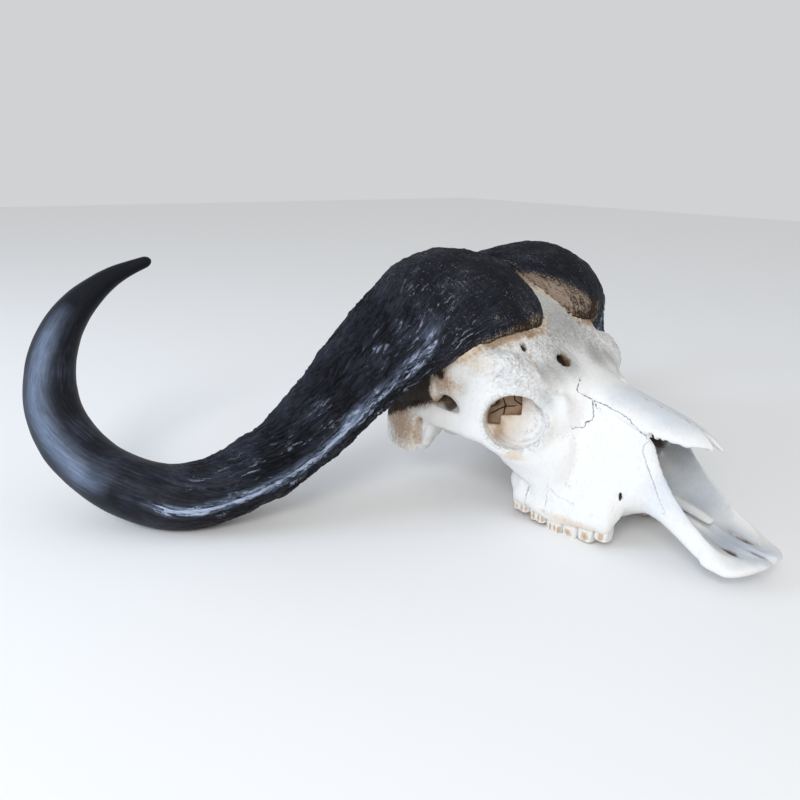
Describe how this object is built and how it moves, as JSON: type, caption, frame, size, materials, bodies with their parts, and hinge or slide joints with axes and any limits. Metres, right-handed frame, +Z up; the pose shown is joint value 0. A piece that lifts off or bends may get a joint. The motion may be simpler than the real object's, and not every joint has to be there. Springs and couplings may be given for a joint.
{
  "type": "buffalo skull",
  "caption": "Cape buffalo skull without its lower jaw: bleached bone, upper cheek teeth and black horns that sweep down, out and up into hooks.",
  "frame": {"origin": "on the ground, under the middle of the whole skull and horns", "axes": "+X to the animal's left, along the horn spread; +Y towards the back of the head; +Z up, with the skull lying on its cheek teeth and the lowest bend of each horn"},
  "size_m": [1.052, 0.7172, 0.3141],
  "materials": {
    "bone": "bleached dry bone, matte, stained warm brown around the horn roots and ear regions",
    "horn": "black horn, rough and ridged at the boss, flaky along the shaft, satin with a blue-grey sheen on the hook",
    "tooth": "worn enamel with orange-brown stains"
  },
  "bodies": {
    "root": {"skull": "bone", "horn_right": "horn", "horn_left": "horn", "tooth_right_1": "tooth", "tooth_right_2": "tooth", "tooth_right_3": "tooth", "tooth_right_4": "tooth", "tooth_right_5": "tooth", "tooth_right_6": "tooth", "tooth_left_1": "tooth", "tooth_left_2": "tooth", "tooth_left_3": "tooth", "tooth_left_4": "tooth", "tooth_left_5": "tooth", "tooth_left_6": "tooth"}
  },
  "joints": []
}
